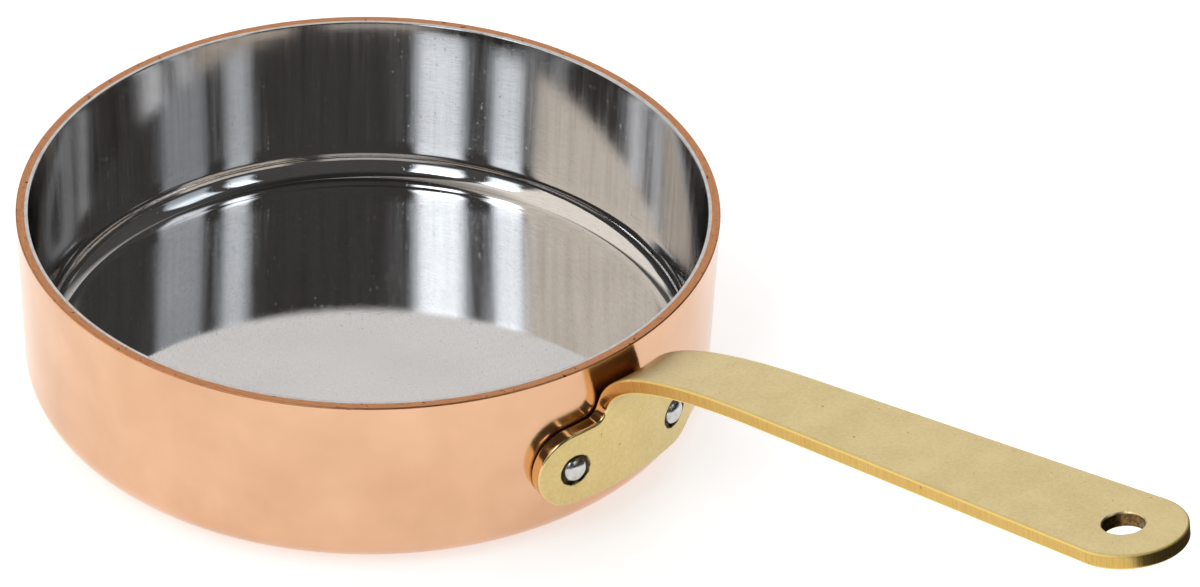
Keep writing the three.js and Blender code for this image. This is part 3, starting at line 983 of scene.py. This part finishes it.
# %% The brass's colours
strap_shades = [(0.5, (0.76, 0.59, 0.285)), (0.8, (0.86, 0.69, 0.355))]
# The flange's faces: a darker copy of the strap's brass, a painted shade.
flange_painted_shades = [(0.5, (0.6, 0.465, 0.2)), (0.8, (0.69, 0.54, 0.25))]
# The strap's sides: a deeper copy of the brass, a painted reflection laid over the real grinding marks.
side_painted_shades = [(0.3, (0.55, 0.335, 0.085)), (0.55, (0.64, 0.42, 0.125)), (0.8, (0.72, 0.52, 0.19))]
# The second colour here is a painted highlight for the strap's rounded edges.
flange_side, painted_edge_highlight, dark_speck = (0.83, 0.6, 0.3), (1.0, 0.78, 0.3), (0.2, 0.11, 0.03)
# A painted shade for the sinks round the rivets.
sink_shade_colour = (0.06, 0.045, 0.025)
# A dark brown for the wall of the hanging hole.
hole_wall_shades = [(0.35, (0.09, 0.05, 0.018)), (0.65, (0.24, 0.14, 0.05))]


def brass_colour(tree, place, mottle, ground, side, on_strap, edge):
    """Mottled faces, painted darker on the flange as a painted shade; sides painted deeper, a painted
    reflection;
    a painted highlight along the strap's rounded edges; and a few dark specks.
    """
    # The faces: the strap's brass, painted darker on the flange as a painted shade.
    face = mixed(tree, on_strap, ramp(tree, mottle, flange_painted_shades), ramp(tree, mottle, strap_shades))
    # The strap's sides are painted deeper, a painted reflection; the flange's sides keep a plain brass.
    side_tone = mixed(tree, on_strap, flange_side, ramp(tree, ground, side_painted_shades))
    specks = ramp(tree, noise(tree, place, 800, 2, 0.5), [(0.73, 0.0), (0.77, 0.6)])
    tone = mixed(tree, specks, mixed(tree, side, face, side_tone), dark_speck)
    # A painted highlight along the strap's rounded edges.
    return mixed(tree, edge, tone, painted_edge_highlight)


def with_sink_shade_and_dark_hole(tree, place, tone):
    """The tone with a painted shade in the sinks, which has a ragged rim, and a dark brown wall in the
    hanging hole.
    """
    # The sinks are darkened as a painted shade, with a ragged rim from noise.
    ragged = maths(tree, "ADD", noise(tree, place, 900, 3), from_axis(tree, place, rivet_seat(1)))
    sink_edge = sink_mouth_radius / (10 * mm)
    sink_shade_stops = [(sink_edge + 0.04, 1.0), (sink_edge + 0.075, 0.0)]
    sink_shade = ramp(tree, maths(tree, "DIVIDE", ragged, 10), sink_shade_stops)
    tone = mixed(tree, sink_shade, tone, sink_shade_colour)
    # The wall of the hanging hole is painted dark brown.
    from_hole = maths(tree, "DIVIDE", from_axis(tree, place, hanging_seat()), 10)
    hole_edge = hanging_hole_radius / (10 * mm)
    in_hole = ramp(tree, from_hole, [(hole_edge + 0.003, 1.0), (hole_edge + 0.01, 0.0)])
    return mixed(tree, in_hole, tone, ramp(tree, noise(tree, place, 1500, 3), hole_wall_shades))


# %% Brass
def brass_finish():
    """Satin faces and ground sides on the strap; the flange's sides are left smooth and shiny."""
    made, tree, shader = new_material("satin brass")
    blank, _ = attribute(tree, "blank")
    _, side = attribute(tree, "zone")
    place = own_place(tree)
    length_share = maths(tree, "DIVIDE", apart(tree, blank)["X"], 50 * mm)
    on_strap = ramp(tree, length_share, [(0.42, 0.0), (0.62, 1.0)])
    # The strap's rounded edges, where a painted highlight is laid and the gloss is rougher.
    edge = ramp(tree, side, [(0.02, 0.0), (0.3, 1.0), (0.75, 1.0), (0.98, 0.0)])
    edge = maths(tree, "MULTIPLY", edge, on_strap)
    blotches = noise(tree, place, 120, 4)
    fine = noise(tree, place, 1400, 3, 0.6)
    mottle = maths(tree, "MULTIPLY_ADD", fine, 0.7, maths(tree, "MULTIPLY", blotches, 0.6))
    grain = marks_of(tree, blank, (60, 900, 900), 1, 4, 0.6)
    ground = marks_of(tree, blank, (4200, 4200, 140), 1, 3, 0.7)
    tone = brass_colour(tree, place, mottle, ground, side, on_strap, edge)
    face_rough = maths(tree, "MULTIPLY_ADD", grain, 0.16, 0.24)
    side_rough = between(tree, on_strap, 0.1, maths(tree, "MULTIPLY_ADD", ground, 0.16, 0.22))
    rough = between(tree, side, face_rough, side_rough)
    rough = maths(tree, "MULTIPLY_ADD", edge, 0.3, rough)
    face_height = maths(tree, "MULTIPLY_ADD", blotches, 0.8, maths(tree, "MULTIPLY", grain, 0.3))
    side_height = between(tree, on_strap, maths(tree, "MULTIPLY", blotches, 3.0), ground)
    height = between(tree, side, face_height, side_height)
    end_metal(tree, shader, with_sink_shade_and_dark_hole(tree, place, tone), rough, height, 0.22)
    return made


brass_metal = brass_finish()
print("brass:", len(brass_metal.node_tree.nodes), "nodes")

# %% [markdown]
# ### Rivet metal
# A hammered end is a patchwork of small flats, so its bump is coarse and its gloss changes from flat to flat.
# The flats follow the attribute that holds a rivet's own frame, so both rivets have them alike.

# %% Rivet metal
rivet_shades = [(0.1, (0.5, 0.49, 0.48)), (0.7, (0.66, 0.65, 0.64))]


def rivet_finish():
    """Smooth cells for the flats, with a fine grit over them."""
    made, tree, shader = new_material("hammered rivet")
    place, _ = attribute(tree, "local")
    flats = node(tree, "TexVoronoi", {"Vector": place, "Scale": 750}, feature="SMOOTH_F1").outputs["Distance"]
    grit = noise(tree, place, 2500, 3)
    rough = maths(tree, "MULTIPLY_ADD", grit, 0.2, 0.14)
    height = maths(tree, "MULTIPLY_ADD", grit, 0.15, flats)
    end_metal(tree, shader, ramp(tree, flats, rivet_shades), rough, height, 0.5, 0.2 * mm)
    return made


rivet_metal = rivet_finish()
print("rivet metal:", len(rivet_metal.node_tree.nodes), "nodes")

# %% [markdown]
# ## Putting the pan together
# Each fine piece takes the place of one plain solid on the frame. A pan has no moving parts, so all five ride
# on the same body.

# %% Each piece gets its finish and its place on the frame
finished = (
    (copper_body, "copper_body", "copper", copper_metal),
    (lining, "steel_lining", "lining", lining_metal),
    (handle, "brass_handle", "brass", brass_metal),
    (rivets["rivet_left"], "rivet_left", "rivet", rivet_metal),
    (rivets["rivet_right"], "rivet_right", "rivet", rivet_metal),
)
body_name = next(iter(frame["bodies"]))
for piece, cad_node, slot_name, finish in finished:
    piece.data.materials.clear()
    piece.data.materials.append(finish)
    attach(piece, body_name)
    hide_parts(cad_node)
    print(piece.name, "stands for", cad_node)

# %% [markdown]
# ## Colours
# The standard view keeps white white and shows the metals' colours as they are.

# %% Colours as they are
scene.view_settings.view_transform = "Standard"
bpy.context.view_layer.update()
